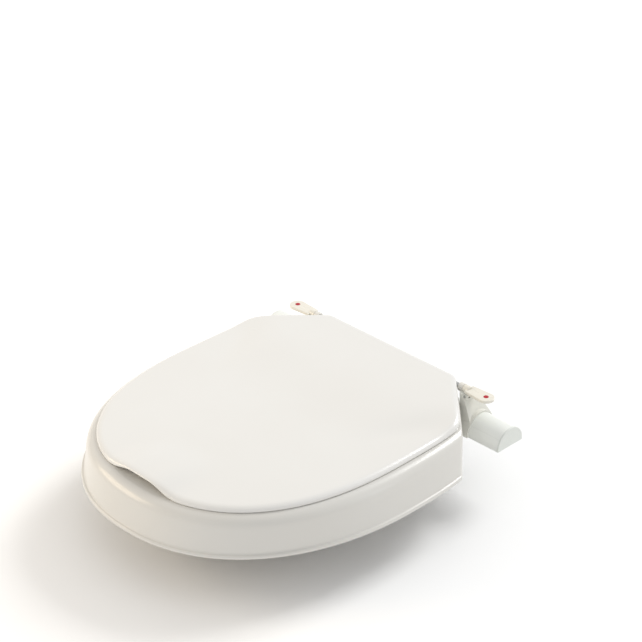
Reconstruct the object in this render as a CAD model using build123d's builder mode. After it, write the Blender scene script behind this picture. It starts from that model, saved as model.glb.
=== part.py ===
from build123d import *
import os
from math import copysign, cos, pi, sin

os.makedirs("parts", exist_ok=True)

# Raised toilet seat. Origin: midway between the two mounting studs, on the deck of the toilet.
# +Z up, -Y towards the front of the seat, +X to the right.  All lengths in mm.

# ---- shared driving dimensions ----
oval_centre_y = -150.0        # centre of every oval outline of seat and lid
seat_top = 39.5               # sitting surface under the lid
deck_thickness = 4.0
deck_underside = seat_top - deck_thickness
skirt_foot = -3.8             # skirt hangs this far over the rim of the bowl
skirt_foot_half_width = 184.5
skirt_foot_half_length = 235.5
skirt_top_half_width = 174.5
skirt_top_half_length = 226.5
oval_powers_foot = (2.2, 2.5)  # front half, rear half
oval_powers_top = (2.32, 2.6)
skirt_wall = 3.5
crown_radius = 8.0
lip_height = 4.0
lip_proud = 2.2
shoulder = 104.5              # |x| + y of the 45-degree rear shoulders of the seat
rear_wall_y = -23.0           # back of the seat, in front of the cross profile
deck_rear_y = -9.0            # rear edge of the seat deck above the cross profile
opening_centre_y = -190.0
opening_half_width = 107.0
opening_half_length = 132.0
opening_wall = 3.0
opening_wall_foot = 14.0

hinge_z = 45.0                # hinge axis runs along X through y = 0
shaft_radius = 3.0
shaft_half_length = 113.5
nib_radius = 2.5
nib_half_length = 115.8
bearing_clearance = 0.04

lid_foot = 40.0
lid_top = 52.5
lid_half_width = 164.0
lid_half_length = 215.0
lid_powers = (2.42, 3.0)
lid_shoulder = 101.5
lid_rear_y = 6.0
lid_wall = 3.5
lid_skin = 3.0
lid_rim_top = 45.5            # top of the lid in front of the hump over the hinge
hump_front_y = -42.0
hump_foot_y = -122.0
hood_front_y = -366.0         # raised hood over the finger recess
hood_rear_y = -285.0
hood_half_width = 52.0
hood_rise = 5.0

profile_half_length = 178.5   # half-round cross profile
profile_radius = 19.5
profile_floor = 2.0           # flat underside of the cross profile above the deck
profile_plinth = 2.5          # straight part below the half round
profile_wall = 2.5
slot_width = 9.0
end_cap_plate = 2.0

stud_spacing = 155.0
stud_radius = 4.0
stud_smooth_length = 24.0
stud_length = 62.0
thread_pitch = 1.25
thread_root_radius = 3.2
thread_crest_radius = 3.85

bracket_inner_x = 112.0       # collar and post of each bracket
bracket_outer_x = 138.0
collar_thickness = 2.0
post_gap = 106.5              # the posts keep outside |x| = post_gap + |y|
post_top = 44.0
cap_radius = 5.0              # white cap on each end of the hinge shaft
cap_inner_x = 107.0

seat_ear_x = 91.5             # middle of each seat hinge ear
seat_ear_width = 7.0
lid_ear_x = 67.5
lid_ear_width = 7.0
screw_radius = 1.8

tab_dot_x = 144.0             # red dot on each release lever
tab_top = 47.5
tab_thickness = 3.0
dot_radius = 2.9
tab_end_radius = 9.2
tab_root_x = 119.0
tab_root_half_width = 7.3
lever_pin_x = 121.5
lever_pin_z = 41.5
lever_pin_radius = 1.5


def oval(half_width, half_length, powers, centre_y=oval_centre_y, count=24):
    """Points of a closed oval; a power above 2 makes its front or rear half squarer than an ellipse."""
    points = []
    for step in range(count):
        angle = 2 * pi * step / count
        power = powers[1] if sin(angle) > 0 else powers[0]
        across = copysign(abs(cos(angle)) ** (2 / power), cos(angle))
        along = copysign(abs(sin(angle)) ** (2 / power), sin(angle))
        points.append((half_width * across, centre_y + half_length * along))
    return points


def shoulder_outline(shoulder_sum, rear_y):
    """Everything in front of the two 45-degree shoulders and the rear edge."""
    side = 260.0
    return [
        (-side, -450.0),
        (side, -450.0),
        (side, shoulder_sum - side),
        (shoulder_sum - rear_y, rear_y),
        (rear_y - shoulder_sum, rear_y),
        (-side, shoulder_sum - side),
    ]


def upright_edges(edges, low_y, high_y):
    """Vertical edges whose y lies between two limits."""
    chosen = []
    for edge in edges:
        start = edge @ 0
        end = edge @ 1
        if abs(start.X - end.X) < 0.01 and abs(start.Y - end.Y) < 0.01 and low_y < start.Y < high_y:
            chosen.append(edge)
    return chosen


# ================= seat =================

rib_count = 14
buffer_places = [(150.0, -118.0), (-150.0, -118.0), (118.0, -306.0), (-118.0, -306.0)]
buffer_height = 8.0
seat_screw_places = [(81.5, -27.0), (81.5, -16.0)]

# Hollow under the seat deck, less the radial ribs, the buffer pillars and the opening wall.
with BuildPart() as seat_hollow:
    with BuildSketch(Plane.XY.offset(skirt_foot)):
        with BuildLine():
            Spline(oval(skirt_foot_half_width - skirt_wall, skirt_foot_half_length - skirt_wall,
                        oval_powers_foot), periodic=True)
        make_face()
    with BuildSketch(Plane.XY.offset(deck_underside)):
        with BuildLine():
            Spline(oval(skirt_top_half_width - skirt_wall - 2.0, skirt_top_half_length - skirt_wall - 2.0,
                        oval_powers_top), periodic=True)
        make_face()
    loft(ruled=True)
    with BuildSketch(Plane.XY.offset(skirt_foot)):
        Polygon(shoulder_outline(shoulder - skirt_wall * 1.4142, rear_wall_y - skirt_wall), align=None)
    extrude(amount=60.0, mode=Mode.INTERSECT)
    for rib in range(rib_count):
        rib_angle = 360.0 * (rib + 0.5) / rib_count
        with Locations(Location((0, opening_centre_y, (6.0 + deck_underside) / 2), (0, 0, rib_angle))):
            with Locations((173.0, 0, 0)):
                Box(146.0, 2.5, deck_underside - 6.0, mode=Mode.SUBTRACT)
    with BuildSketch(Plane.XY.offset(buffer_height)):
        with Locations(*buffer_places):
            Circle(8.0)
    extrude(amount=deck_underside - buffer_height, mode=Mode.SUBTRACT)
    # room for the sleeve of the splash ring, inside the ribs
    with BuildSketch(Plane.XY.offset(5.0)):
        with Locations((0, opening_centre_y)):
            Ellipse(opening_half_width + 6.4, opening_half_length + 6.4)
    extrude(amount=19.6)
    with BuildSketch(Plane.XY.offset(opening_wall_foot)):
        with Locations((0, opening_centre_y)):
            Ellipse(opening_half_width + opening_wall, opening_half_length + opening_wall)
    extrude(amount=deck_underside - opening_wall_foot, mode=Mode.SUBTRACT)

with BuildPart() as seat_ring:
    with BuildSketch(Plane.XY.offset(skirt_foot)):
        with BuildLine():
            Spline(oval(skirt_foot_half_width, skirt_foot_half_length, oval_powers_foot), periodic=True)
        make_face()
    with BuildSketch(Plane.XY.offset(seat_top)):
        with BuildLine():
            Spline(oval(skirt_top_half_width, skirt_top_half_length, oval_powers_top), periodic=True)
        make_face()
    loft(ruled=True)
    fillet(seat_ring.faces().sort_by(Axis.Z)[-1].edges(), crown_radius)
    # lip round the foot of the skirt
    with BuildSketch(Plane.XY.offset(skirt_foot)):
        with BuildLine():
            Spline(oval(skirt_foot_half_width + lip_proud, skirt_foot_half_length + lip_proud,
                        oval_powers_foot), periodic=True)
        make_face()
    extrude(amount=lip_height)
    # shoulders and rear edge
    with BuildSketch(Plane.XY.offset(skirt_foot)):
        Polygon(shoulder_outline(shoulder, deck_rear_y), align=None)
    extrude(amount=60.0, mode=Mode.INTERSECT)
    # room for the cross profile and its brackets under the rear of the deck
    with Locations((0, rear_wall_y + 50.0, deck_underside - 50.0)):
        Box(500.0, 100.0, 100.0, mode=Mode.SUBTRACT)
    add(seat_hollow.part, mode=Mode.SUBTRACT)
    # the walls that stand on the bowl stop just above it
    with BuildSketch(Plane.XY.offset(-10.0)):
        with BuildLine():
            Spline(oval(180.0, 231.0, oval_powers_foot), periodic=True)
        make_face()
        with Locations((0, -40.0)):
            Rectangle(260.0, 160.0)
    extrude(amount=11.0, mode=Mode.SUBTRACT)
    # opening, with an eased edge for the sitter
    with BuildSketch(Plane.XY.offset(-10.0)):
        with Locations((0, opening_centre_y)):
            Ellipse(opening_half_width, opening_half_length)
    extrude(amount=60.0, mode=Mode.SUBTRACT)
    for ease_foot, ease_top, foot_out, top_out in ((-3.6, -1.2, 0.0, 1.3), (-1.2, 0.0, 1.3, 3.8)):
        with BuildSketch(Plane.XY.offset(seat_top + ease_foot)):
            with Locations((0, opening_centre_y)):
                Ellipse(opening_half_width + foot_out, opening_half_length + foot_out)
        with BuildSketch(Plane.XY.offset(seat_top + ease_top)):
            with Locations((0, opening_centre_y)):
                Ellipse(opening_half_width + top_out, opening_half_length + top_out)
        loft(ruled=True, mode=Mode.SUBTRACT)
    # screw holes of the hinges
    with BuildSketch(Plane.XY.offset(deck_underside - 1.0)):
        with Locations(*seat_screw_places, *[(-x, y) for x, y in seat_screw_places]):
            Circle(screw_radius)
    extrude(amount=deck_thickness + 2.0, mode=Mode.SUBTRACT)
seat_ring.part.label = "seat_ring"
export_step(seat_ring.part, "parts/seat_ring.step")

# Splash ring: sleeve over the opening wall and a skirt that reaches down into the bowl.
splash_foot = -28.0
with BuildPart() as splash_ring:
    with BuildSketch(Plane.XY.offset(8.0)):
        with Locations((0, opening_centre_y)):
            Ellipse(opening_half_width + 5.6, opening_half_length + 5.6)
    extrude(amount=16.0)
    with BuildSketch(Plane.XY.offset(opening_wall_foot)):
        with Locations((0, opening_centre_y)):
            Ellipse(opening_half_width + opening_wall, opening_half_length + opening_wall)
    extrude(amount=20.0, mode=Mode.SUBTRACT)
    with BuildSketch(Plane.XY.offset(splash_foot)):
        with Locations((0, opening_centre_y)):
            Ellipse(opening_half_width - 5.5, opening_half_length - 5.5)
    with BuildSketch(Plane.XY.offset(8.0)):
        with Locations((0, opening_centre_y)):
            Ellipse(opening_half_width + 2.5, opening_half_length + 2.5)
    loft(ruled=True)
    with BuildSketch(Plane.XY.offset(splash_foot)):
        with Locations((0, opening_centre_y)):
            Ellipse(opening_half_width - 8.0, opening_half_length - 8.0)
    with BuildSketch(Plane.XY.offset(8.0)):
        with Locations((0, opening_centre_y)):
            Ellipse(opening_half_width, opening_half_length)
    loft(ruled=True, mode=Mode.SUBTRACT)
    with BuildSketch(Plane.XY.offset(8.0)):
        with Locations((0, opening_centre_y)):
            Ellipse(opening_half_width, opening_half_length)
    extrude(amount=10.0, mode=Mode.SUBTRACT)
splash_ring.part.label = "splash_ring"
export_step(splash_ring.part, "parts/splash_ring.step")

for place, (x, y) in enumerate(buffer_places, start=1):
    with BuildPart() as seat_buffer:
        with BuildSketch(Plane.XY):
            with Locations((x, y)):
                Circle(7.5)
        extrude(amount=buffer_height)
        chamfer(seat_buffer.edges().group_by(Axis.Z)[0], 1.5)
    seat_buffer.part.label = f"seat_buffer_{place}"
    export_step(seat_buffer.part, f"parts/seat_buffer_{place}.step")

# ================= lid =================

lid_ceiling = lid_top - lid_skin
lid_screw_places = [(56.0, -33.0), (56.0, -21.0)]
lid_buffer_places = [(132.0, -128.0), (-132.0, -128.0), (98.0, -300.0), (-98.0, -300.0)]


def lid_side_profile(drop, foot):
    """Outline of the lid seen from the side: high over the hinge, low from the foot of the hump on."""
    with BuildLine() as outline:
        crest = Line((30.0, lid_top - drop), (hump_front_y, lid_top - drop))
        slope = Spline(
            crest @ 1,
            ((hump_front_y + hump_foot_y) / 2, (lid_top + lid_rim_top) / 2 - drop),
            (hump_foot_y, lid_rim_top - drop),
            tangents=((-1, 0), (-1, 0)),
        )
        front = Line(slope @ 1, (-400.0, lid_rim_top - drop))
        Polyline(front @ 1, (-400.0, foot), (30.0, foot), crest @ 0)
    return outline.line


with BuildPart() as lid_hollow:
    with BuildSketch(Plane.XY.offset(lid_foot - 5.0)):
        with BuildLine():
            Spline(oval(lid_half_width - lid_wall, lid_half_length - lid_wall, lid_powers), periodic=True)
        make_face()
    extrude(amount=lid_ceiling - lid_foot + 6.0)
    with BuildSketch(Plane.XY.offset(lid_foot - 5.0)):
        Polygon(shoulder_outline(lid_shoulder - lid_wall * 1.4142, lid_rear_y - lid_wall), align=None)
    extrude(amount=60.0, mode=Mode.INTERSECT)
    fillet(upright_edges(lid_hollow.edges(), -100.0, -10.0), 11.5)
    fillet(upright_edges(lid_hollow.edges(), 1.0, 10.0), 5.5)
    with BuildSketch(Plane.YZ.offset(-260.0)):
        add(lid_side_profile(lid_skin, lid_foot - 6.0))
        make_face()
    extrude(amount=520.0, mode=Mode.INTERSECT)

with BuildPart() as lid_hood:
    with BuildSketch(Plane.XY.offset(lid_foot)):
        with BuildLine():
            Spline(oval(lid_half_width, lid_half_length, lid_powers), periodic=True)
        make_face()
    extrude(amount=lid_top - lid_foot)
    with BuildSketch(Plane.XZ.offset(-hood_front_y)):
        Polygon(
            (-hood_half_width, lid_foot),
            (hood_half_width, lid_foot),
            (hood_half_width - 16.0, lid_rim_top + hood_rise),
            (16.0 - hood_half_width, lid_rim_top + hood_rise),
            align=None,
        )
    with BuildSketch(Plane.XZ.offset(-hood_rear_y)):
        Polygon(
            (-hood_half_width, lid_foot),
            (hood_half_width, lid_foot),
            (hood_half_width - 16.0, lid_rim_top - 0.1),
            (16.0 - hood_half_width, lid_rim_top - 0.1),
            align=None,
        )
    loft(ruled=True, mode=Mode.INTERSECT)

with BuildPart() as lid_shell:
    with BuildSketch(Plane.XY.offset(lid_foot)):
        with BuildLine():
            Spline(oval(lid_half_width, lid_half_length, lid_powers), periodic=True)
        make_face()
    extrude(amount=lid_top - lid_foot)
    with BuildSketch(Plane.XY.offset(lid_foot)):
        Polygon(shoulder_outline(lid_shoulder, lid_rear_y), align=None)
    extrude(amount=60.0, mode=Mode.INTERSECT)
    fillet(upright_edges(lid_shell.edges(), -100.0, -10.0), 15.0)
    fillet(upright_edges(lid_shell.edges(), 4.0, 10.0), 9.0)
    with BuildSketch(Plane.YZ.offset(-260.0)):
        add(lid_side_profile(0.0, lid_foot))
        make_face()
    extrude(amount=520.0, mode=Mode.INTERSECT)
    rim_edges = []
    for edge in lid_shell.edges():
        across = abs((edge @ 0).X - (edge @ 1).X)
        along = abs((edge @ 0).Y - (edge @ 1).Y)
        if edge.center().Z > lid_rim_top - 0.1 and (along > 0.01 or edge.center().Y > 0 and across > 0.01):
            rim_edges.append(edge)
    fillet(rim_edges, 4.0)
    add(lid_hood.part)
    add(lid_hollow.part, mode=Mode.SUBTRACT)
    # finger recess under the hood
    with BuildSketch(Plane.XZ.offset(371.0)):
        Polygon(
            (3.5 - hood_half_width, lid_foot - 2.0),
            (hood_half_width - 3.5, lid_foot - 2.0),
            (hood_half_width - 19.0, lid_rim_top + hood_rise - lid_skin),
            (19.0 - hood_half_width, lid_rim_top + hood_rise - lid_skin),
            align=None,
        )
    with BuildSketch(Plane.XZ.offset(-hood_rear_y)):
        Polygon(
            (3.5 - hood_half_width, lid_foot - 2.0),
            (hood_half_width - 3.5, lid_foot - 2.0),
            (hood_half_width - 19.0, lid_rim_top - lid_skin - 0.1),
            (19.0 - hood_half_width, lid_rim_top - lid_skin - 0.1),
            align=None,
        )
    loft(ruled=True, mode=Mode.SUBTRACT)
    # straight front edge of the hood
    with Locations((0, -371.0, 50.0)):
        Box(2 * hood_half_width, 20.0, 30.0, mode=Mode.SUBTRACT)
    # room for the hinge shaft and the hinge ears; the shaft enters the shoulders from below
    with Locations(Location((0, 0, hinge_z), (0, 90, 0))):
        Cylinder(shaft_radius + 0.3, 220.0, mode=Mode.SUBTRACT)
    for side in (-1, 1):
        with Locations(Location((side * seat_ear_x, 0, hinge_z), (0, 90, 0))):
            Cylinder(6.0, seat_ear_width + 1.0, mode=Mode.SUBTRACT)
        with Locations((side * seat_ear_x, 4.0, hinge_z - 1.0)):
            Box(seat_ear_width + 1.0, 8.0, 12.0, mode=Mode.SUBTRACT)
        with Locations(Location((side * lid_ear_x, 0, hinge_z), (0, 90, 0))):
            Cylinder(4.45, lid_ear_width + 0.4, mode=Mode.SUBTRACT)
        with Locations((side * 98.0, 0, hinge_z - 5.0)):
            Box(14.0, 2 * shaft_radius + 0.6, 10.0, mode=Mode.SUBTRACT)
    with BuildSketch(Plane.XY.offset(lid_ceiling - 1.0)):
        with Locations(*lid_screw_places, *[(-x, y) for x, y in lid_screw_places]):
            Circle(screw_radius)
    extrude(amount=2.5, mode=Mode.SUBTRACT)
lid_shell.part.label = "lid_shell"
export_step(lid_shell.part, "parts/lid_shell.step")

for place, (x, y) in enumerate(lid_buffer_places, start=1):
    with BuildPart() as lid_buffer:
        with BuildSketch(Plane.XY.offset(seat_top + 0.1)):
            with Locations((x, y)):
                Circle(6.0)
        extrude(amount=lid_rim_top - lid_skin - seat_top - 0.1)
        fillet(lid_buffer.edges().group_by(Axis.Z)[0], 1.0)
    lid_buffer.part.label = f"lid_buffer_{place}"
    export_step(lid_buffer.part, f"parts/lid_buffer_{place}.step")

# ================= mount on the toilet =================

with BuildPart() as cross_profile:
    with BuildSketch(Plane.YZ.offset(-profile_half_length)):
        with Locations((0, profile_floor + profile_plinth)):
            Circle(profile_radius)
        with Locations((0, profile_floor + profile_plinth - profile_radius)):
            Rectangle(2 * profile_radius, 2 * profile_radius, mode=Mode.SUBTRACT)
        with Locations((0, profile_floor + profile_plinth / 2)):
            Rectangle(2 * profile_radius, profile_plinth)
    extrude(amount=2 * profile_half_length)
    with BuildSketch(Plane.YZ.offset(-profile_half_length)):
        with Locations((0, profile_floor + profile_wall)):
            Circle(profile_radius - profile_wall)
        with Locations((0, profile_floor + profile_wall - profile_radius)):
            Rectangle(2 * profile_radius, 2 * profile_radius, mode=Mode.SUBTRACT)
        with Locations((0, profile_floor + profile_wall / 2)):
            Rectangle(slot_width, profile_wall)
    extrude(amount=2 * profile_half_length, mode=Mode.SUBTRACT)
    for side in (-1, 1):
        with Locations(Location((side * 126.0, 18.0, 9.0), (90, 0, 0))):
            Cylinder(2.0, 12.0, mode=Mode.SUBTRACT)
cross_profile.part.label = "cross_profile"
export_step(cross_profile.part, "parts/cross_profile.step")

with BuildPart() as deck_pad:
    with BuildSketch(Plane.XY):
        RectangleRounded(220.0, 34.0, 6.0)
        with Locations((-stud_spacing / 2, 0), (stud_spacing / 2, 0)):
            Circle(stud_radius + 0.5, mode=Mode.SUBTRACT)
    extrude(amount=profile_floor)
deck_pad.part.label = "deck_pad"
export_step(deck_pad.part, "parts/deck_pad.step")

with BuildPart() as hinge_shaft:
    with Locations(Location((0, 0, hinge_z), (0, 90, 0))):
        Cylinder(shaft_radius, 2 * shaft_half_length)
        Cylinder(nib_radius, 2 * nib_half_length)
    chamfer(hinge_shaft.edges().group_by(Axis.X)[0], 0.6)
    chamfer(hinge_shaft.edges().group_by(Axis.X)[-1], 0.6)
hinge_shaft.part.label = "hinge_shaft"
export_step(hinge_shaft.part, "parts/hinge_shaft.step")

turns = int((stud_length - stud_smooth_length - 2.0) / thread_pitch)
for side, hand in ((-1, "left"), (1, "right")):
    stud_x = side * stud_spacing / 2

    with BuildPart() as end_cap:
        with BuildSketch(Plane.YZ.offset(side * profile_half_length)):
            with Locations((0, profile_floor + profile_plinth)):
                Circle(profile_radius)
            with Locations((0, profile_floor + profile_plinth - profile_radius)):
                Rectangle(2 * profile_radius, 2 * profile_radius, mode=Mode.SUBTRACT)
            with Locations((0, profile_floor + profile_plinth / 2)):
                Rectangle(2 * profile_radius, profile_plinth)
        extrude(amount=side * end_cap_plate)
        with BuildSketch(Plane.YZ.offset(side * profile_half_length)):
            with Locations((0, profile_floor + profile_wall)):
                Circle(profile_radius - profile_wall - 0.1)
                Circle(profile_radius - profile_wall - 2.6, mode=Mode.SUBTRACT)
            with Locations((0, profile_floor + profile_wall + 0.1 - profile_radius)):
                Rectangle(2 * profile_radius, 2 * profile_radius, mode=Mode.SUBTRACT)
        extrude(amount=-side * 9.0)
        cap_rim = end_cap.faces().sort_by(Axis.X)[-1 if side > 0 else 0].edges()
        fillet(cap_rim, 0.6)
    end_cap.part.label = f"end_cap_{hand}"
    export_step(end_cap.part, f"parts/end_cap_{hand}.step")

    with BuildPart() as bracket:
        # collar over the cross profile
        with BuildSketch(Plane.YZ.offset(side * bracket_inner_x)):
            with Locations((0, profile_floor + profile_plinth)):
                Circle(profile_radius + collar_thickness)
            with Locations((0, profile_floor + profile_plinth - 25.0)):
                Rectangle(60.0, 50.0, mode=Mode.SUBTRACT)
            with Locations((0, profile_floor + profile_plinth / 2)):
                Rectangle(2 * (profile_radius + collar_thickness), profile_plinth)
        extrude(amount=side * (bracket_outer_x - bracket_inner_x))
        # tapered post
        with BuildSketch(Plane.XY.offset(18.0)):
            with Locations((side * (bracket_inner_x + bracket_outer_x) / 2, 0)):
                Rectangle(bracket_outer_x - bracket_inner_x, 34.0)
        with BuildSketch(Plane.XY.offset(post_top)):
            with Locations((side * 113.5, 0)):
                Rectangle(12.0, 18.4)
        loft(ruled=True)
        # the rear shoulders of seat and lid swing past the post
        with BuildSketch(Plane.XY.offset(27.0)):
            Polygon(
                (side * post_gap, 0),
                (side * (post_gap + 30.0), -30.0),
                (side * 80.0, -30.0),
                (side * 80.0, 30.0),
                (side * (post_gap + 30.0), 30.0),
                align=None,
            )
        extrude(amount=40.0, mode=Mode.SUBTRACT)
        # ears for the lever pin, and the pocket between them
        with Locations(Location((side * lever_pin_x, 0, lever_pin_z), (90, 0, 0))):
            Cylinder(2.8, 17.2)
        with Locations((side * (lever_pin_x - 0.2), 0, lever_pin_z - 3.0)):
            Box(5.6, 17.2, 6.0)
        with Locations(Location((side * lever_pin_x, 0, lever_pin_z), (90, 0, 0))):
            Cylinder(3.5, 12.0, mode=Mode.SUBTRACT)
        with Locations((side * (lever_pin_x + 2.3), 0, lever_pin_z + 5.0)):
            Box(12.0, 12.0, 10.0, mode=Mode.SUBTRACT)
        with Locations(Location((side * lever_pin_x, 0, lever_pin_z), (90, 0, 0))):
            Cylinder(lever_pin_radius, 30.0, mode=Mode.SUBTRACT)
        # open saddle for the shaft cap, and room under the nib of the shaft
        with Locations(Location((side * 110.0, 0, hinge_z), (0, 90, 0))):
            Cylinder(cap_radius, 7.0, mode=Mode.SUBTRACT)
        with Locations(Location((side * 115.0, 0, hinge_z), (0, 90, 0))):
            Cylinder(nib_radius + 0.7, 8.0, mode=Mode.SUBTRACT)
        # seat on the cross profile
        with BuildSketch(Plane.YZ.offset(side * 100.0)):
            with Locations((0, profile_floor + profile_plinth)):
                Circle(profile_radius)
            with Locations((0, profile_floor)):
                Rectangle(2 * profile_radius, 2 * profile_plinth)
        extrude(amount=side * 60.0, mode=Mode.SUBTRACT)
        # screw hole with a flat face for the head
        with Locations(Location((side * 126.0, 18.0, 9.0), (90, 0, 0))):
            Cylinder(2.0, 12.0, mode=Mode.SUBTRACT)
        with Locations(Location((side * 126.0, 23.2, 9.0), (90, 0, 0))):
            Cylinder(4.0, 6.0, mode=Mode.SUBTRACT)
    bracket.part.label = f"bracket_{hand}"
    export_step(bracket.part, f"parts/bracket_{hand}.step")

    with BuildPart() as bracket_screw:
        with Locations(Location((side * 126.0, 17.0, 9.0), (90, 0, 0))):
            Cylinder(2.0, 8.0)
        with Locations(Location((side * 126.0, 21.5, 9.0), (90, 0, 0))):
            Cylinder(3.6, 2.6)
        fillet(bracket_screw.edges().group_by(Axis.Y)[-1], 0.8)
        with Locations((side * 126.0, 22.6, 9.0)):
            Box(5.2, 1.0, 1.0, mode=Mode.SUBTRACT)
            Box(1.0, 1.0, 5.2, mode=Mode.SUBTRACT)
    bracket_screw.part.label = f"bracket_screw_{hand}"
    export_step(bracket_screw.part, f"parts/bracket_screw_{hand}.step")

    with BuildPart() as shaft_cap:
        with Locations(Location((side * (cap_inner_x + shaft_half_length) / 2, 0, hinge_z), (0, 90, 0))):
            Cylinder(cap_radius, shaft_half_length - cap_inner_x)
        fillet(shaft_cap.edges().sort_by(Axis.X)[0 if side > 0 else -1], 1.0)
        with Locations(Location((side * (cap_inner_x + shaft_half_length) / 2, 0, hinge_z), (0, 90, 0))):
            Cylinder(shaft_radius, 20.0, mode=Mode.SUBTRACT)
    shaft_cap.part.label = f"shaft_cap_{hand}"
    export_step(shaft_cap.part, f"parts/shaft_cap_{hand}.step")

    with BuildPart() as mounting_bolt:
        with Locations((stud_x, 0, profile_floor + profile_wall + 2.5)):
            Box(13.0, 13.0, 5.0)
        chamfer(mounting_bolt.edges().group_by(Axis.Z)[-1], 1.2)
        with BuildSketch(Plane.XY):
            with Locations((stud_x, 0)):
                Circle(stud_radius - 0.2)
        extrude(amount=profile_floor + profile_wall)
        with BuildSketch(Plane.XY.offset(-stud_smooth_length)):
            with Locations((stud_x, 0)):
                Circle(stud_radius)
        extrude(amount=stud_smooth_length)
        # threaded end
        with BuildSketch(Plane.XZ) as thread_profile:
            with BuildLine():
                thread = [(stud_x, -stud_smooth_length)]
                for turn in range(turns):
                    thread_z = -stud_smooth_length - turn * thread_pitch
                    thread.append((stud_x + thread_root_radius, thread_z))
                    thread.append((stud_x + thread_crest_radius, thread_z - thread_pitch / 2))
                thread_z = -stud_smooth_length - turns * thread_pitch
                thread.append((stud_x + thread_root_radius, thread_z))
                thread.append((stud_x + thread_root_radius - 0.6, -stud_length))
                thread.append((stud_x, -stud_length))
                Polyline(*thread, close=True)
            make_face()
        revolve(axis=Axis((stud_x, 0, 0), (0, 0, 1)))
    mounting_bolt.part.label = f"mounting_bolt_{hand}"
    export_step(mounting_bolt.part, f"parts/mounting_bolt_{hand}.step")

    with BuildPart() as cone_washer:
        with BuildSketch(Plane.XY.offset(-34.4)):
            with Locations((stud_x, 0)):
                Circle(13.0)
        with BuildSketch(Plane.XY.offset(-24.4)):
            with Locations((stud_x, 0)):
                Circle(7.0)
        loft(ruled=True)
        with Locations((stud_x, 0, -29.0)):
            Cylinder(thread_crest_radius + 0.1, 20.0, mode=Mode.SUBTRACT)
    cone_washer.part.label = f"cone_washer_{hand}"
    export_step(cone_washer.part, f"parts/cone_washer_{hand}.step")

    with BuildPart() as steel_washer:
        with Locations((stud_x, 0, -35.2)):
            Cylinder(11.0, 1.6)
            Cylinder(thread_crest_radius + 0.35, 4.0, mode=Mode.SUBTRACT)
    steel_washer.part.label = f"steel_washer_{hand}"
    export_step(steel_washer.part, f"parts/steel_washer_{hand}.step")

    with BuildPart() as wing_nut:
        with BuildSketch(Plane.XY.offset(-46.0)):
            with Locations((stud_x, 0)):
                Circle(6.8)
        with BuildSketch(Plane.XY.offset(-36.0)):
            with Locations((stud_x, 0)):
                Circle(8.6)
        loft(ruled=True)
        for wing in (-1, 1):
            with BuildSketch(Plane.XZ.offset(-1.8)):
                with BuildLine():
                    Polyline(
                        (stud_x + wing * 5.0, -37.5),
                        (stud_x + wing * 9.5, -37.5),
                        (stud_x + wing * 21.0, -47.0),
                        (stud_x + wing * 21.0, -55.0),
                        (stud_x + wing * 15.5, -55.0),
                        (stud_x + wing * 5.0, -45.0),
                        close=True,
                    )
                make_face()
            extrude(amount=3.6)
        wing_tips = [
            edge
            for edge in wing_nut.edges().filter_by(Axis.Y)
            if abs(edge.center().X - stud_x) > 14.0
        ]
        fillet(wing_tips, 2.2)
        with Locations((stud_x, 0, -41.0)):
            Cylinder(thread_crest_radius, 20.0, mode=Mode.SUBTRACT)
    wing_nut.part.label = f"wing_nut_{hand}"
    export_step(wing_nut.part, f"parts/wing_nut_{hand}.step")

    with BuildPart() as lever_pin:
        with Locations(Location((side * lever_pin_x, 0, lever_pin_z), (90, 0, 0))):
            Cylinder(lever_pin_radius, 17.2)
    lever_pin.part.label = f"lever_pin_{hand}"
    export_step(lever_pin.part, f"parts/lever_pin_{hand}.step")

    with BuildPart() as lever_spring:
        for coil in range(3):
            coil_y = 4.15 + coil * 0.6
            with Locations(Location((side * lever_pin_x, coil_y, lever_pin_z), (90, 0, 0))):
                Torus(lever_pin_radius + 0.34, 0.33)
    lever_spring.part.label = f"lever_spring_{hand}"
    export_step(lever_spring.part, f"parts/lever_spring_{hand}.step")

    # release lever: flat tab, lug on the pin, and a nose over the nib of the hinge shaft
    with BuildPart() as release_lever:
        with BuildSketch(Plane.XY.offset(tab_top - tab_thickness)):
            with Locations((side * tab_dot_x, 0)):
                Circle(tab_end_radius)
            with Locations((side * (tab_root_x + 0.5), 0)):
                Rectangle(1.0, 2 * tab_root_half_width)
            make_hull()
        extrude(amount=tab_thickness)
        fillet(release_lever.faces().sort_by(Axis.Z)[-1].edges(), 0.9)
        with BuildSketch(Plane.YZ.offset(side * 114.0)):
            with Locations((0, hinge_z)):
                Circle(cap_radius)
            with Locations((0, tab_top - tab_thickness - 10.0)):
                Rectangle(30.0, 20.0, mode=Mode.SUBTRACT)
        extrude(amount=side * 8.0)
        nose_end = [
            edge
            for edge in release_lever.edges().filter_by(GeomType.CIRCLE)
            if abs(edge.center().X - side * 122.0) < 0.01 and edge.center().Z > tab_top
        ]
        fillet(nose_end, 1.2)
        with Locations(Location((side * 114.6, 0, hinge_z), (0, 90, 0))):
            Cylinder(nib_radius + 0.6, 4.0, mode=Mode.SUBTRACT)
        with Locations(Location((side * lever_pin_x, -1.05, lever_pin_z), (90, 0, 0))):
            Cylinder(2.7, 9.3)
        with Locations((side * lever_pin_x, -1.05, lever_pin_z + 1.6)):
            Box(5.2, 9.3, 3.2)
        with Locations(Location((side * lever_pin_x, 0, lever_pin_z), (90, 0, 0))):
            Cylinder(lever_pin_radius + bearing_clearance, 20.0, mode=Mode.SUBTRACT)
        with BuildSketch(Plane.XY.offset(tab_top - 0.5)):
            with Locations((side * tab_dot_x, 0)):
                Circle(dot_radius)
        extrude(amount=1.0, mode=Mode.SUBTRACT)
    release_lever.part.label = f"release_lever_{hand}"
    export_step(release_lever.part, f"parts/release_lever_{hand}.step")

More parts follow.
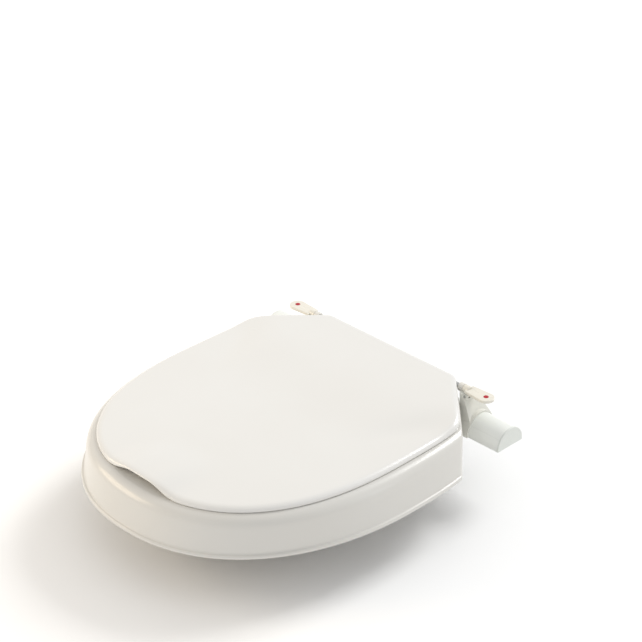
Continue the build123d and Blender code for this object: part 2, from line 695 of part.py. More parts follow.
    with BuildPart() as red_dot:
        with BuildSketch(Plane.XY.offset(tab_top - 0.5)):
            with Locations((side * tab_dot_x, 0)):
                Circle(dot_radius)
        extrude(amount=0.7)
        fillet(red_dot.edges().group_by(Axis.Z)[-1], 0.2)
    red_dot.part.label = f"red_dot_{hand}"
    export_step(red_dot.part, f"parts/red_dot_{hand}.step")

    # seat hinge: plate on the seat deck and an ear round the shaft
    with BuildPart() as seat_hinge:
        with BuildSketch(Plane.YZ.offset(side * (seat_ear_x - seat_ear_width / 2))):
            with Locations((0, hinge_z)):
                Circle(5.3)
            with Locations((-21.5, seat_top + 1.0)):
                Rectangle(23.0, 2.0)
            make_hull()
        extrude(amount=side * seat_ear_width)
        with Locations((side * 84.5, -21.5, seat_top + 1.25)):
            Box(17.0, 23.0, 2.5)
        with Locations(Location((side * seat_ear_x, 0, hinge_z), (0, 90, 0))):
            Cylinder(shaft_radius + bearing_clearance, 20.0, mode=Mode.SUBTRACT)
        with Locations(*[(side * x, y, seat_top) for x, y in seat_screw_places]):
            Cylinder(screw_radius, 10.0, mode=Mode.SUBTRACT)
    seat_hinge.part.label = f"seat_hinge_{hand}"
    export_step(seat_hinge.part, f"parts/seat_hinge_{hand}.step")

    # lid hinge: plate under the lid and an ear round the shaft
    with BuildPart() as lid_hinge:
        with BuildSketch(Plane.YZ.offset(side * (lid_ear_x - lid_ear_width / 2))):
            with Locations((0, hinge_z)):
                Circle(4.4)
            with Locations((-27.0, lid_ceiling - 1.0)):
                Rectangle(26.0, 2.0)
            make_hull()
        extrude(amount=side * lid_ear_width)
        with Locations((side * 59.5, -27.0, lid_ceiling - 1.25)):
            Box(17.0, 26.0, 2.5)
        with Locations(Location((side * lid_ear_x, 0, hinge_z), (0, 90, 0))):
            Cylinder(shaft_radius + bearing_clearance, 20.0, mode=Mode.SUBTRACT)
        with Locations(*[(side * x, y, lid_ceiling) for x, y in lid_screw_places]):
            Cylinder(screw_radius, 10.0, mode=Mode.SUBTRACT)
    lid_hinge.part.label = f"lid_hinge_{hand}"
    export_step(lid_hinge.part, f"parts/lid_hinge_{hand}.step")

    for place, (x, y) in enumerate(seat_screw_places, start=1):
        with BuildPart() as seat_screw:
            with Locations((side * x, y, seat_top - 0.5)):
                Cylinder(screw_radius, 6.0)
            with Locations((side * x, y, seat_top + 3.4)):
                Cylinder(3.3, 1.8)
            fillet(seat_screw.edges().group_by(Axis.Z)[-1], 0.8)
            with Locations((side * x, y, seat_top + 4.2)):
                Box(4.4, 0.9, 1.0, mode=Mode.SUBTRACT)
                Box(0.9, 4.4, 1.0, mode=Mode.SUBTRACT)
        seat_screw.part.label = f"seat_hinge_screw_{hand}_{place}"
        export_step(seat_screw.part, f"parts/seat_hinge_screw_{hand}_{place}.step")

    for place, (x, y) in enumerate(lid_screw_places, start=1):
        with BuildPart() as lid_screw:
            with Locations((side * x, y, lid_ceiling - 0.5)):
                Cylinder(screw_radius, 4.0)
            with Locations((side * x, y, lid_ceiling - 3.4)):
                Cylinder(3.3, 1.8)
            fillet(lid_screw.edges().group_by(Axis.Z)[0], 0.8)
            with Locations((side * x, y, lid_ceiling - 4.2)):
                Box(4.4, 0.9, 1.0, mode=Mode.SUBTRACT)
                Box(0.9, 4.4, 1.0, mode=Mode.SUBTRACT)
        lid_screw.part.label = f"lid_hinge_screw_{hand}_{place}"
        export_step(lid_screw.part, f"parts/lid_hinge_screw_{hand}_{place}.step")
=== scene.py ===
import functools
import math

import bmesh
import bpy
from mathutils import Matrix, Vector


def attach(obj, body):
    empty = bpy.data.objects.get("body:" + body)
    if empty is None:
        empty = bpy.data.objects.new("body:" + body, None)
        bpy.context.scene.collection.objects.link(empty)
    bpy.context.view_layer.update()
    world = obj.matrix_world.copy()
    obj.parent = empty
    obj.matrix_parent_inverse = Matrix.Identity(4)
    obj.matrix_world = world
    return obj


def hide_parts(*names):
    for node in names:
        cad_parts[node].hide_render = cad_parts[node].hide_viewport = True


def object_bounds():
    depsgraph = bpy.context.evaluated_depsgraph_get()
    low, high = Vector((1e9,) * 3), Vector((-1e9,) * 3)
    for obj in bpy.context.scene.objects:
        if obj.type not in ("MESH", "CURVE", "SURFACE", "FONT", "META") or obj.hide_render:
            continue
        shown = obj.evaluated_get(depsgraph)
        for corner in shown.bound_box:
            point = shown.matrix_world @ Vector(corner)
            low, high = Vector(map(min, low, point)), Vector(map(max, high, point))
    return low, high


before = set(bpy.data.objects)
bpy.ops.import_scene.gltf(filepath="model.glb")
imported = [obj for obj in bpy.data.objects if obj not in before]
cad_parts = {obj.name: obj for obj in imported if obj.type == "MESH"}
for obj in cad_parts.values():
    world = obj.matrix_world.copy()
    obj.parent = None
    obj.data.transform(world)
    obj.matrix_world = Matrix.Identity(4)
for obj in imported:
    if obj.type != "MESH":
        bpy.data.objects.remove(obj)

cad_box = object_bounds()
MM = 0.001

# ---------------------------------------------------------------- materials


class Graph:
    """Adds and joins the nodes of one material."""

    def __init__(self, name):
        self.material = bpy.data.materials.new(name)
        self.material.use_nodes = True
        self.tree = self.material.node_tree
        self.shader = self.tree.nodes["Principled BSDF"]
        coords = self.add("ShaderNodeTexCoord")
        self.place = coords.outputs["Object"]

    def add(self, kind, **settings):
        node = self.tree.nodes.new(kind)
        for key, value in settings.items():
            setattr(node, key, value)
        return node

    def link(self, source, target):
        self.tree.links.new(source, target)

    def stretched(self, scale):
        mapping = self.add("ShaderNodeMapping")
        mapping.inputs["Scale"].default_value = scale
        self.link(self.place, mapping.inputs["Vector"])
        return mapping.outputs["Vector"]

    def noise(self, scale, detail=3.0, roughness=0.5, vector=None):
        node = self.add("ShaderNodeTexNoise")
        node.inputs["Scale"].default_value = scale
        node.inputs["Detail"].default_value = detail
        node.inputs["Roughness"].default_value = roughness
        self.link(vector or self.place, node.inputs["Vector"])
        return node.outputs["Fac"]

    def ramp(self, value, low, high, out_low=0.0, out_high=1.0):
        node = self.add("ShaderNodeMapRange", clamp=True)
        for key, number in (("From Min", low), ("From Max", high), ("To Min", out_low), ("To Max", out_high)):
            node.inputs[key].default_value = number
        self.link(value, node.inputs["Value"])
        return node.outputs["Result"]

    def mix_colour(self, factor, first, second):
        node = self.add("ShaderNodeMix", data_type="RGBA")
        for socket, value in ((node.inputs[6], first), (node.inputs[7], second)):
            if isinstance(value, tuple):
                socket.default_value = (*value, 1.0)
            else:
                self.link(value, socket)
        self.link(factor, node.inputs[0])
        return node.outputs[2]

    def maths(self, operation, first, second):
        node = self.add("ShaderNodeMath", operation=operation)
        for socket, value in zip(node.inputs, (first, second)):
            if isinstance(value, float):
                socket.default_value = value
            else:
                self.link(value, socket)
        return node.outputs[0]

    def bump(self, height, strength, distance, normal=None):
        node = self.add("ShaderNodeBump")
        node.inputs["Strength"].default_value = strength
        node.inputs["Distance"].default_value = distance
        self.link(height, node.inputs["Height"])
        if normal is not None:
            self.link(normal, node.inputs["Normal"])
        return node.outputs["Normal"]

    def crevice(self, reach, low, high):
        """0 in the open, towards 1 in the piece's own corners; other pieces don't count, as they may move."""
        node = self.add("ShaderNodeAmbientOcclusion", samples=4, only_local=True)
        node.inputs["Distance"].default_value = reach
        return self.ramp(node.outputs["AO"], low, high, 1.0, 0.0)


def moulded_plastic(name, colour, shade, rough, coat, peel=0.16, grain=0.0):
    """Moulded plastic: slight mottling, orange peel, wipe marks in the gloss, dust and painted shade in the
    corners.
    """
    g = Graph(name)
    clouds = g.noise(9.0, 4.0)
    body = g.mix_colour(g.ramp(clouds, 0.35, 0.65), colour, shade)
    # Dust and painted shade: the piece's own corners, found by ambient occlusion, are darkened towards a
    # grime colour and made rougher.
    dust_and_shade = g.crevice(0.006, 0.35, 0.95)
    grime_and_shade_colour = tuple(c * f for c, f in zip(shade, (0.86, 0.83, 0.77)))
    body = g.mix_colour(g.maths("MULTIPLY", dust_and_shade, 0.22), body, grime_and_shade_colour)
    g.link(body, g.shader.inputs["Base Color"])
    wipes = g.noise(1.0, 5.0, 0.6, g.stretched((14.0, 160.0, 40.0)))
    smears = g.noise(26.0, 4.0, 0.6)
    wiped = g.ramp(wipes, 0.4, 0.75, 0.0, 0.015)
    gloss = g.maths("ADD", wiped, g.ramp(smears, 0.35, 0.7, rough, rough + 0.02))
    g.link(g.maths("ADD", gloss, g.maths("MULTIPLY", dust_and_shade, 0.15)), g.shader.inputs["Roughness"])
    normal = g.bump(g.noise(420.0, 2.0), peel, 0.0004)
    if grain:
        normal = g.bump(g.noise(2600.0, 2.0, 0.7), grain, 0.0002, normal)
    g.link(normal, g.shader.inputs["Normal"])
    g.shader.inputs["IOR"].default_value = 1.49
    g.shader.inputs["Coat Weight"].default_value = coat
    g.shader.inputs["Coat Roughness"].default_value = 0.12
    return g.material


def lacquered_metal(name, colour, shade):
    """Extruded aluminium under a satin lacquer: die lines along X."""
    g = Graph(name)
    lines = g.noise(1.0, 3.0, 0.6, g.stretched((3.0, 900.0, 900.0)))
    clouds = g.noise(14.0, 4.0)
    g.link(g.mix_colour(g.ramp(clouds, 0.3, 0.7), colour, shade), g.shader.inputs["Base Color"])
    g.link(g.ramp(lines, 0.3, 0.7, 0.27, 0.38), g.shader.inputs["Roughness"])
    normal = g.bump(lines, 0.10, 0.0003)
    g.link(g.bump(g.noise(900.0, 2.0), 0.08, 0.0003, normal), g.shader.inputs["Normal"])
    g.shader.inputs["Metallic"].default_value = 0.06
    g.shader.inputs["Coat Weight"].default_value = 0.25
    g.shader.inputs["Coat Roughness"].default_value = 0.2
    return g.material


def turned_steel(name):
    """Zinc-plated steel: cloudy passivation, fine turning lines, painted shade darkening the thread roots."""
    g = Graph(name)
    clouds = g.noise(60.0, 5.0, 0.6)
    body = g.mix_colour(g.ramp(clouds, 0.3, 0.7), (0.62, 0.63, 0.64), (0.50, 0.50, 0.49))
    # Painted shade: the piece's own creases and thread roots, found by ambient occlusion, are darkened almost
    # to black.
    dark = g.crevice(0.003, 0.3, 0.95)
    g.link(g.mix_colour(dark, body, (0.16, 0.15, 0.14)), g.shader.inputs["Base Color"])
    g.shader.inputs["Metallic"].default_value = 1.0
    lines = g.noise(1.0, 3.0, 0.6, g.stretched((2500.0, 300.0, 2500.0)))
    g.link(g.ramp(clouds, 0.3, 0.75, 0.24, 0.42), g.shader.inputs["Roughness"])
    g.link(g.bump(lines, 0.12, 0.0002), g.shader.inputs["Normal"])
    return g.material


def rubber(name, colour, shade):
    """Moulded rubber: matt, finely pebbled, with pale bloom on top of the grain."""
    g = Graph(name)
    grain = g.noise(1500.0, 3.0, 0.6)
    clouds = g.noise(45.0, 4.0)
    body = g.mix_colour(g.ramp(clouds, 0.3, 0.7), colour, shade)
    bloom = tuple(min(1.0, c * 1.2 + 0.03) for c in colour)
    g.link(g.mix_colour(g.ramp(grain, 0.5, 0.8, 0.0, 0.5), body, bloom), g.shader.inputs["Base Color"])
    g.link(g.ramp(clouds, 0.3, 0.7, 0.62, 0.82), g.shader.inputs["Roughness"])
    g.link(g.bump(grain, 0.35, 0.0003), g.shader.inputs["Normal"])
    g.shader.inputs["Sheen Weight"].default_value = 0.12
    return g.material


def red_plastic(name):
    """Deep red inlay with scuffs."""
    g = Graph(name)
    clouds = g.noise(260.0, 4.0)
    body = g.mix_colour(g.ramp(clouds, 0.3, 0.7), (0.50, 0.003, 0.020), (0.36, 0.002, 0.014))
    scuffs = g.noise(1.0, 4.0, 0.7, g.stretched((500.0, 2600.0, 500.0)))
    body = g.mix_colour(g.ramp(scuffs, 0.62, 0.72, 0.0, 0.3), body, (0.72, 0.10, 0.10))
    g.link(body, g.shader.inputs["Base Color"])
    g.link(g.ramp(scuffs, 0.4, 0.7, 0.22, 0.45), g.shader.inputs["Roughness"])
    g.link(g.bump(g.noise(1200.0, 2.0), 0.12, 0.0002), g.shader.inputs["Normal"])
    return g.material


LID = moulded_plastic("lid_gloss_plastic", (0.765, 0.758, 0.735), (0.755, 0.746, 0.721), 0.24, 0.30, 0.05)
SEAT = moulded_plastic("seat_gloss_plastic", (0.67, 0.657, 0.622), (0.66, 0.645, 0.608), 0.28, 0.25, 0.04)
SPLASH = moulded_plastic("splash_ring_plastic", (0.74, 0.72, 0.68), (0.72, 0.70, 0.655), 0.30, 0.10)
HINGE = moulded_plastic("hinge_plastic", (0.76, 0.745, 0.70), (0.72, 0.70, 0.655), 0.34, 0.05, 0.2, 0.25)
BRACKET = moulded_plastic("bracket_plastic", (0.77, 0.768, 0.715), (0.73, 0.725, 0.67), 0.36, 0.05, 0.2, 0.35)
# The end cap has a darker copy of the profile's colour: painted shade for its end face, which is turned from
# the light.
SHADED_END_CAP = moulded_plastic("end_cap_plastic_painted_shade", (0.77, 0.79, 0.755), (0.73, 0.755, 0.715), 0.38, 0.05, 0.2, 0.35)
LEVER = moulded_plastic("lever_plastic", (0.80, 0.77, 0.69), (0.76, 0.73, 0.65), 0.26, 0.20)
NUT = moulded_plastic("wing_nut_plastic", (0.72, 0.71, 0.68), (0.67, 0.66, 0.62), 0.40, 0.0, 0.2, 0.4)
PROFILE = lacquered_metal("profile_lacquer", (0.87, 0.885, 0.85), (0.84, 0.86, 0.82))
STEEL = turned_steel("zinc_steel")
GREY_RUBBER = rubber("grey_rubber", (0.16, 0.16, 0.155), (0.12, 0.12, 0.118))
WHITE_RUBBER = rubber("white_rubber", (0.66, 0.64, 0.59), (0.58, 0.56, 0.51))
RED = red_plastic("red_dot_plastic")

LOOKS = (
    ("seat_hinge_screw", STEEL), ("lid_hinge_screw", STEEL), ("bracket_screw", STEEL),
    ("mounting_bolt", STEEL), ("steel_washer", STEEL), ("hinge_shaft", STEEL), ("lever_pin", STEEL),
    ("lever_spring", STEEL), ("seat_hinge", HINGE), ("lid_hinge", HINGE), ("shaft_cap", HINGE),
    ("seat_buffer", WHITE_RUBBER), ("lid_buffer", WHITE_RUBBER), ("cone_washer", GREY_RUBBER),
    ("deck_pad", GREY_RUBBER), ("bracket", BRACKET), ("cross_profile", PROFILE), ("end_cap", SHADED_END_CAP),
    ("release_lever", LEVER), ("red_dot", RED), ("wing_nut", NUT), ("splash_ring", SPLASH),
    ("seat_ring", SEAT), ("lid_shell", LID),
)
for node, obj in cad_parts.items():
    look = next(material for prefix, material in LOOKS if node.startswith(prefix))
    for material_slot in obj.material_slots:
        material_slot.material = look

# ---------------------------------------------------------------- shapes of lid and seat, in millimetres

STEPS = 720          # points round each ring
ANGLES = [2 * math.pi * step / STEPS for step in range(STEPS)]
OVAL_MIDDLE_Y = -150.0
SHAFT_Z = 45.0       # height of the hinge shaft's axis


def smooth_step(low, high, value):
    """0 below low and 1 above high, with a smooth curve between."""
    t = min(1.0, max(0.0, (value - low) / (high - low)))
    return t * t * t * (t * (6.0 * t - 15.0) + 10.0)


@functools.lru_cache(maxsize=None)
def oval_reach(centre_y, angle, half_width, half_length, powers):
    """Distance from (0, centre_y) to an oval whose front and rear halves have their own powers."""
    low, high = 20.0, 420.0
    for _ in range(34):
        reach = (low + high) / 2
        x = reach * math.cos(angle)
        y = centre_y + reach * math.sin(angle) - OVAL_MIDDLE_Y
        power = powers[1] if y > 0 else powers[0]
        if (abs(x) / half_width) ** power + (abs(y) / half_length) ** power < 1.0:
            low = reach
        else:
            high = reach
    return low


def line_reach(centre_y, angle, across, along, total):
    """Distance from (0, centre_y) to the line across * |x| + along * y = total."""
    slope = across * abs(math.cos(angle)) + along * math.sin(angle)
    return (total - along * centre_y) / slope if slope > 1e-6 else 1e5


def rounded(reaches, sharpness):
    """Smallest of several reaches, with the corner between two of them rounded."""
    least = min(reaches)
    pull = sum(math.exp(-(reach - least) * sharpness) for reach in reaches if reach - least < 40.0)
    return least - pull / sharpness + 1.0 / sharpness


def piece_of(shape, name):
    """Object of a bmesh, with its faces turned outwards."""
    bmesh.ops.recalc_face_normals(shape, faces=shape.faces)
    mesh = bpy.data.meshes.new(name)
    shape.to_mesh(mesh)
    shape.free()
    piece = bpy.data.objects.new(name, mesh)
    bpy.context.collection.objects.link(piece)
    return piece


def ring_mesh(name, rings, top_centre=None, foot_centre=None):
    """Closed surface through rings of as many points each: a loop of rings, or capped at two centres."""
    shape = bmesh.new()
    rows = [[shape.verts.new(Vector(point) * MM) for point in ring] for ring in rings]
    count = len(rows[0])
    spans = list(zip(rows, rows[1:]))
    if top_centre is None:
        spans.append((rows[-1], rows[0]))
    for first, second in spans:
        for step in range(count):
            after = (step + 1) % count
            shape.faces.new((first[step], first[after], second[after], second[step]))
    if top_centre is not None:
        for centre, row, turn in ((top_centre, rows[0], -1), (foot_centre, rows[-1], 1)):
            hub = shape.verts.new(Vector(centre) * MM)
            for step in range(count):
                shape.faces.new((row[step], row[(step + 1) % count], hub)[::turn])
    return piece_of(shape, name)


def solid(name, prisms):
    """Object made of prisms; each is a loop of corners and a vector that it is pushed along."""
    shape = bmesh.new()
    for corners, push in prisms:
        foot = [shape.verts.new(Vector(corner) * MM) for corner in corners]
        head = [shape.verts.new((Vector(corner) + Vector(push)) * MM) for corner in corners]
        shape.faces.new(foot)
        shape.faces.new(head[::-1])
        for step in range(len(foot)):
            after = (step + 1) % len(foot)
            shape.faces.new((foot[step], head[step], head[after], foot[after]))
    return piece_of(shape, name)


def disc(centre, axis, radius, length, count=40):
    """Prism for a cylinder along X or Z, centred on a point."""
    corners = []
    for step in range(count):
        turn = 2 * math.pi * step / count
        a, b = radius * math.cos(turn), radius * math.sin(turn)
        if axis == "X":
            corners.append((centre[0] - length / 2, centre[1] + a, centre[2] + b))
        else:
            corners.append((centre[0] + a, centre[1] + b, centre[2] - length / 2))
    return corners, (length, 0, 0) if axis == "X" else (0, 0, length)


def block(low, high):
    """Prism for a box between its lowest and highest corners."""
    loop = ((low[0], low[1]), (high[0], low[1]), (high[0], high[1]), (low[0], high[1]))
    return [(x, y, low[2]) for x, y in loop], (0, 0, high[2] - low[2])


def cut(piece, groups):
    """Takes groups of prisms out of a piece; the prisms of one group don't touch each other."""
    for group in groups:
        tool = solid("prisms", group)
        modifier = piece.modifiers.new("cut", "BOOLEAN")
        modifier.operation = "DIFFERENCE"
        modifier.solver = "EXACT"
        modifier.object = tool
        evaluated = piece.evaluated_get(bpy.context.evaluated_depsgraph_get())
        mesh = bpy.data.meshes.new_from_object(evaluated)
        piece.modifiers.clear()
        piece.data = mesh
        bpy.data.objects.remove(tool)


def dress(piece, material, degrees):
    """Gives a piece its material and smooth shading, with edges sharper than an angle kept sharp."""
    piece.data.polygons.foreach_set("use_smooth", [True] * len(piece.data.polygons))
    piece.data.set_sharp_from_angle(angle=math.radians(degrees))
    piece.data.materials.clear()
    piece.data.materials.append(material)


# ---- lid: domed, higher over the hinge, thin at the rim, with a raised hood over the finger recess

LID_CENTRE_Y = -165.0
LID_HALF_WIDTH, LID_HALF_LENGTH = 164.0, 215.0
LID_POWERS = (2.42, 3.0)
LID_SHOULDER = 101.5     # |x| + y on the 45-degree shoulders
LID_REAR_Y = 6.0
LID_FRONT_Y = -361.0
LID_HUMP = 7.0           # rise over the hinge
LID_LOW = 45.5           # top of the rim
LID_FOOT = 40.0          # foot of the rim
LID_SKIN = 3.0
LID_WALL = 3.5
RIM_INSET = 7.5          # how far the rounding at the rim reaches in
HOOD_RISE = 5.0
FINGER_RISE = 7.4        # how far the rim's foot arches up over the fingers


def lid_reach(angle):
    reaches = [
        oval_reach(LID_CENTRE_Y, angle, LID_HALF_WIDTH, LID_HALF_LENGTH, LID_POWERS),
        line_reach(LID_CENTRE_Y, angle, 1.0, 1.0, LID_SHOULDER),
        line_reach(LID_CENTRE_Y, angle, 0.0, 1.0, LID_REAR_Y),
        line_reach(LID_CENTRE_Y, angle, 0.0, -1.0, -LID_FRONT_Y),
    ]
    if math.sin(angle) <= 0:
        return rounded(reaches, 0.9)
    turned = abs(math.degrees(math.asin(math.sin(angle))))
    return rounded(reaches, 0.42 + 0.48 * smooth_step(40.0, 54.0, turned))


def hood(x, y):
    """0 to 1: how much of the hood's rise a point has."""
    return (1.0 - smooth_step(9.0, 60.0, abs(x))) * (1.0 - smooth_step(LID_FRONT_Y, -272.0, y))


def lid_top(x, y, outward):
    """Height of the lid's top; outward goes from 0 in the middle to 1 at the edge."""
    side = smooth_step(80.0, 160.0, abs(x))
    foot = -190.0 + 84.0 * side
    crest = -50.0 + 26.0 * side
    slope = smooth_step(foot, crest, y)
    dome = 1.6 * (1.0 - outward ** 4) * (1.0 - smooth_step(-200.0, -60.0, y))
    low = LID_LOW + dome
    return low + (LID_LOW + LID_HUMP - low) * slope + HOOD_RISE * hood(x, y)


def lid_under(x, y, outward=0.0):
    """Height of the underside in the middle of the lid."""
    return LID_LOW - LID_SKIN + LID_HUMP * smooth_step(-122.0, -42.0, y) + HOOD_RISE * hood(x, y)


def rim_foot(x, y):
    """Height of the foot of the rim, which arches up over the fingers."""
    if y > -300.0:
        return LID_FOOT
    return LID_FOOT + FINGER_RISE * (1.0 - smooth_step(9.0, 54.0, abs(x)))


def rim_depth(x, y):
    """Height of the rounding at the rim."""
    return max(1.0, min(4.4, lid_top(x, y, 1.0) - rim_foot(x, y) - 1.0))


def over_foot(rise):
    """Height function: a rise over the rim's foot."""
    return lambda x, y, outward: rim_foot(x, y) + rise


def round_rim(sweep):
    """Height function: down the rounding at the rim, after a turn of sweep from the top."""
    return lambda x, y, outward: lid_top(x, y, outward) - rim_depth(x, y) * (1.0 - math.cos(sweep))


lid_outline = [(angle, lid_reach(angle)) for angle in ANGLES]


def lid_ring(height, inset=0.0, share=1.0):
    """Ring at a share of the lid's outline, less an inset, at heights from a function."""
    ring = []
    for angle, reach in lid_outline:
        distance = reach * share - inset
        x = distance * math.cos(angle)
        y = LID_CENTRE_Y + distance * math.sin(angle)
        ring.append((x, y, height(x, y, distance / reach)))
    return ring


lid_rings = [lid_ring(lid_top, share=k / 44.0) for k in range(1, 42)]
for k in range(10):
    sweep = math.radians(k * 90.0 / 9)
    lid_rings.append(lid_ring(round_rim(sweep), RIM_INSET * (1.0 - math.sin(sweep))))
lid_rings += [
    lid_ring(over_foot(0.5)),
    lid_ring(over_foot(0.15), 0.15),
    lid_ring(over_foot(0.0), 0.5),
    lid_ring(over_foot(0.0), LID_WALL - 0.4),
    lid_ring(lambda x, y, outward: min(rim_foot(x, y) + 0.4, lid_under(x, y)), LID_WALL),
    lid_ring(lambda x, y, outward: max(lid_under(x, y) - 1.2, rim_foot(x, y)), LID_WALL + 0.3),
    lid_ring(lid_under, LID_WALL + 1.4),
]
lid_rings += [lid_ring(lid_under, share=k / 30.0) for k in range(28, 0, -1)]
lid = ring_mesh(
    "lid_moulding",
    lid_rings,
    (0.0, LID_CENTRE_Y, lid_top(0.0, LID_CENTRE_Y, 0.0)),
    (0.0, LID_CENTRE_Y, lid_under(0.0, LID_CENTRE_Y)),
)
shaft_way = [disc((0, 0, SHAFT_Z), "X", 3.3, 224.0)]
ear_pockets, rear_ways, shoulder_slots = [], [], []
for side in (-1, 1):
    ear_pockets.append(disc((side * 91.5, 0, SHAFT_Z), "X", 6.0, 8.0))
    ear_pockets.append(disc((side * 67.5, 0, SHAFT_Z), "X", 4.45, 7.4))
    rear_ways.append(block((side * 91.5 - 4.0, 0, 38.0), (side * 91.5 + 4.0, 8.0, 50.0)))
    shoulder_slots.append(block((side * 98.0 - 7.0, -3.3, 35.0), (side * 98.0 + 7.0, 3.3, SHAFT_Z)))
    for hole_y in (-33.0, -21.0):
        ear_pockets.append(disc((side * 56.0, hole_y, 49.8), "Z", 1.8, 2.6, 24))
cut(lid, [shaft_way, ear_pockets, rear_ways, shoulder_slots])
dress(lid, LID, 38.0)
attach(lid, "lid")
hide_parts("lid_shell")

# ---- seat: flared skirt with a lip, rounded crown, flat deck and an eased oval opening

SEAT_CENTRE_Y = -190.0
FOOT, TOP = -3.8, 39.5
FOOT_HALVES, TOP_HALVES = (184.5, 235.5), (174.5, 226.5)     # half width and half length of the ovals
FOOT_POWERS, TOP_POWERS = (2.2, 2.5), (2.32, 2.6)
SEAT_SHOULDER = 104.5     # |x| + y on the 45-degree shoulders
SKIRT_REAR, DECK_REAR = -23.0, -9.0
CROWN = 11.0              # height of the crown's rounding
OPENING_HALVES = (107.0, 132.0)
OPENING_EASE = 4.2        # rounding at the top of the opening
UNDER_DECK = 35.5


def wall_share(z):
    """0 at the skirt's foot to 1 at the top of the seat."""
    return (z - FOOT) / (TOP - FOOT)


def seat_reach(angle, z, grow, inset, rear, crown):
    """Reach of the seat's outline at one height: an oval that flares downwards, shoulders and rear wall."""
    foot_oval, top_oval = (
        oval_reach(SEAT_CENTRE_Y, angle, halves[0] + grow, halves[1] + grow, powers)
        for halves, powers in ((FOOT_HALVES, FOOT_POWERS), (TOP_HALVES, TOP_POWERS))
    )
    round_in = 0.0
    if crown:
        climbed = max(0.0, z - (TOP - CROWN)) / CROWN
        round_in = CROWN * (1.0 - math.sqrt(max(0.0, 1.0 - climbed * climbed)))
    return rounded([
        foot_oval + (top_oval - foot_oval) * wall_share(z) - round_in,
        line_reach(SEAT_CENTRE_Y, angle, 1.0, 1.0, SEAT_SHOULDER - inset * 1.4142),
        line_reach(SEAT_CENTRE_Y, angle, 0.0, 1.0, rear - inset),
    ], 1.3)


def opening_reach(angle, grow):
    """Distance from the middle of the opening to its oval edge, grown by a margin."""
    half_width, half_length = OPENING_HALVES
    return 1.0 / math.hypot(math.cos(angle) / (half_width + grow), math.sin(angle) / (half_length + grow))


def seat_point(angle, reach, z):
    return reach * math.cos(angle), SEAT_CENTRE_Y + reach * math.sin(angle), z


def seat_ring(z, grow=0.0, inset=0.0, rear=SKIRT_REAR, crown=True):
    return [seat_point(angle, seat_reach(angle, z, grow, inset, rear, crown), z) for angle in ANGLES]


def opening_ring(grow, z):
    return [seat_point(angle, opening_reach(angle, grow), z) for angle in ANGLES]


def between(first, second, share):
    """Ring that is a share of the way from one ring to another."""
    return [tuple(a + (b - a) * share for a, b in zip(p, q)) for p, q in zip(first, second)]


LIP = (      # height over the foot, growth and inset, from the underside out and up round the lip
    (0.0, -3.5, 3.5), (0.001, -0.5, 0.5), (0.05, 1.5, 0.0), (0.6, 2.2, 0.0), (1.8, 2.35, 0.0),
    (3.2, 2.2, 0.0), (3.9, 1.5, 0.0), (4.15, 0.7, 0.0), (4.6, 0.2, 0.0), (5.6, 0.0, 0.0),
)
SKIRT = (4.0, 8.0, 12.0, 16.0, 20.0, 24.0, 27.0, 29.0, 30.8, 32.4, 33.8, 34.8, 35.5)
DECK_EDGE = (      # height and inset round the deck's edge
    (35.7, 0.0), (36.3, 0.0), (36.9, 0.05), (37.5, 0.1), (38.0, 0.2), (38.4, 0.35), (38.7, 0.5),
    (38.95, 0.7), (39.15, 0.9), (39.3, 1.15), (39.42, 1.4), (39.48, 1.7),
)

seat_rings = [seat_ring(FOOT + rise, grow, inset) for rise, grow, inset in LIP]
seat_rings += [seat_ring(z) for z in SKIRT]
seat_rings += [seat_ring(z, 0.0, inset, DECK_REAR) for z, inset in DECK_EDGE]
deck_outer = seat_ring(39.499, -0.6, 1.9, DECK_REAR)
deck_inner = opening_ring(OPENING_EASE, TOP)
seat_rings.append(deck_outer)
seat_rings += [between(deck_outer, deck_inner, share) for share in (0.2, 0.4, 0.6, 0.8)]
seat_rings.append(deck_inner)
for k in range(1, 10):
    turn = math.radians(10.0 * k)
    ease = OPENING_EASE * (1.0 - math.cos(turn))
    seat_rings.append(opening_ring(OPENING_EASE * (1.0 - math.sin(turn)), TOP - ease))
seat_rings += [opening_ring(0.0, z) for z in (30.0, 24.0, 18.0, 14.4)]
seat_rings += [opening_ring(0.4, 14.0), opening_ring(2.6, 14.0), opening_ring(3.0, 14.4)]
seat_rings += [opening_ring(3.0, z) for z in (22.0, 30.0, 35.0)]
under_inner = opening_ring(3.5, UNDER_DECK)
under_outer = seat_ring(UNDER_DECK, -5.8, 3.9, SKIRT_REAR, False)
seat_rings.append(under_inner)
seat_rings += [between(under_inner, under_outer, share) for share in (0.25, 0.5, 0.75)]
seat_rings.append(under_outer)
for z in (35.0, 28.0, 20.0, 12.0, 4.0, -2.0):
    seat_rings.append(seat_ring(z, -3.5 - 2.0 * wall_share(z), 3.5, SKIRT_REAR, False))
seat = ring_mesh("seat_moulding", seat_rings)
seat_cuts = [block((-130.0, -120.0, -10.0), (130.0, 40.0, 1.0))]
for side in (-1, 1):
    for hole_y in (-27.0, -16.0):
        seat_cuts.append(disc((side * 81.5, hole_y, 37.5), "Z", 1.8, 6.0, 24))
cut(seat, [seat_cuts])
dress(seat, SEAT, 38.0)
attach(seat, "seat")
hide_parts("seat_ring")

# ---- ribs and buffer pillars under the deck

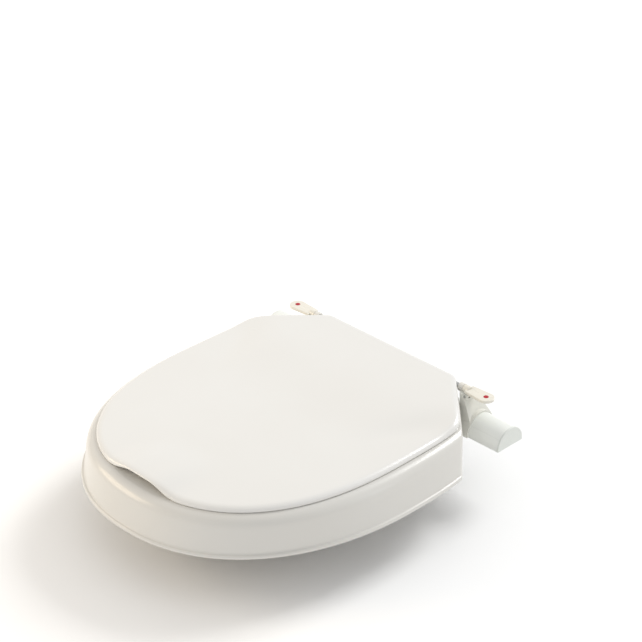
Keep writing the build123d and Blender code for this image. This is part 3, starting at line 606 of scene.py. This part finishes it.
RIBS = 14
RIB_THICKNESS = 2.5
RIB_FOOT, RIB_STEP, RIB_HEAD = 6.0, 24.6, 35.7     # heights; the rib is cut back at the splash ring's sleeve
rib_prisms = []
for rib in range(RIBS):
    angle = 2 * math.pi * (rib + 0.5) / RIBS
    along = Vector((math.cos(angle), math.sin(angle), 0))
    across = Vector((-math.sin(angle), math.cos(angle), 0)) * RIB_THICKNESS
    hub = Vector((0, SEAT_CENTRE_Y, 0))
    outer_foot = seat_reach(angle, RIB_FOOT, -3.5 - 2.0 * wall_share(RIB_FOOT), 3.5, SKIRT_REAR, False) + 0.6
    outer_head = seat_reach(angle, 35.0, -5.4, 3.5, SKIRT_REAR, False) + 0.6
    past_sleeve, at_wall = opening_reach(angle, 6.4), opening_reach(angle, 2.4)
    profile = [
        (past_sleeve, RIB_FOOT), (outer_foot, RIB_FOOT), (outer_head, RIB_HEAD),
        (at_wall, RIB_HEAD), (at_wall, RIB_STEP), (past_sleeve, RIB_STEP),
    ]
    corners = [tuple(hub + along * reach - across / 2 + Vector((0, 0, z))) for reach, z in profile]
    rib_prisms.append((corners, tuple(across)))
for x, y in ((150.0, -118.0), (-150.0, -118.0), (118.0, -306.0), (-118.0, -306.0)):
    rib_prisms.append(disc((x, y, 21.85), "Z", 8.0, 27.7))
ribs = solid("seat_ribs", rib_prisms)
dress(ribs, SEAT, 30.0)
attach(ribs, "seat")

# ---------------------------------------------------------------- floor, light, camera, in metres

FLOOR_HALF = 12
FLOOR_GAP = 0.0005
floor_mesh = bpy.data.meshes.new("floor")
floor_corners = [(x * FLOOR_HALF, y * FLOOR_HALF, 0) for x, y in ((-1, -1), (1, -1), (1, 1), (-1, 1))]
floor_mesh.from_pydata(floor_corners, [], [(0, 1, 2, 3)])
floor = bpy.data.objects.new("floor", floor_mesh)
floor.location.z = cad_box[0][2] - FLOOR_GAP
bpy.context.collection.objects.link(floor)
pale = Graph("pale_floor")
pale.link(
    pale.mix_colour(pale.ramp(pale.noise(3.0, 2.0), 0.3, 0.7), (0.975, 0.975, 0.975), (0.96, 0.96, 0.96)),
    pale.shader.inputs["Base Color"],
)
pale.shader.inputs["Roughness"].default_value = 0.9
floor_mesh.materials.append(pale.material)

world = bpy.data.worlds.new("studio")
world.use_nodes = True
world.node_tree.nodes["Background"].inputs["Color"].default_value = (1.0, 1.0, 1.0, 1.0)
world.node_tree.nodes["Background"].inputs["Strength"].default_value = 0.72
bpy.context.scene.world = world

LAMP_AIM = (0, -0.15, 0)


def softbox(name, place, size, power, colour):
    """Rectangular area lamp, turned towards the middle of the seat."""
    data = bpy.data.lights.new(name, "AREA")
    data.shape = "RECTANGLE"
    data.size, data.size_y = size
    data.energy = power
    data.color = colour
    lamp = bpy.data.objects.new(name, data)
    lamp.location = place
    lamp.rotation_euler = (Vector(LAMP_AIM) - Vector(place)).to_track_quat("-Z", "Y").to_euler()
    bpy.context.collection.objects.link(lamp)


softbox("key_rear", (0.5, 4.9, 4.2), (2.6, 2.6), 235.0, (1.0, 1.0, 0.99))
softbox("fill_front_left", (-1.7, -1.6, 0.9), (1.4, 1.0), 21.0, (1.0, 0.82, 0.58))
softbox("rim_right", (2.4, 1.2, 1.3), (0.5, 1.2), 2.0, (0.88, 0.94, 1.0))

CAMERA_PLACE = (1.330, -1.424, 1.1785)
azimuth = math.radians(45.24)
elevation = math.radians(29.37)
back = Vector((
    math.sin(azimuth) * math.cos(elevation),
    -math.cos(azimuth) * math.cos(elevation),
    math.sin(elevation),
))
right = Vector((0, 0, 1)).cross(back).normalized()
up = back.cross(right)
camera_data = bpy.data.cameras.new("camera")
camera_data.sensor_width = 36.0
camera_data.lens = 113.7
camera_data.clip_end = 50.0
camera = bpy.data.objects.new("camera", camera_data)
camera.matrix_world = Matrix.Translation(CAMERA_PLACE) @ Matrix((right, up, back)).transposed().to_4x4()
bpy.context.collection.objects.link(camera)
bpy.context.scene.camera = camera
bpy.context.scene.view_settings.view_transform = "Standard"
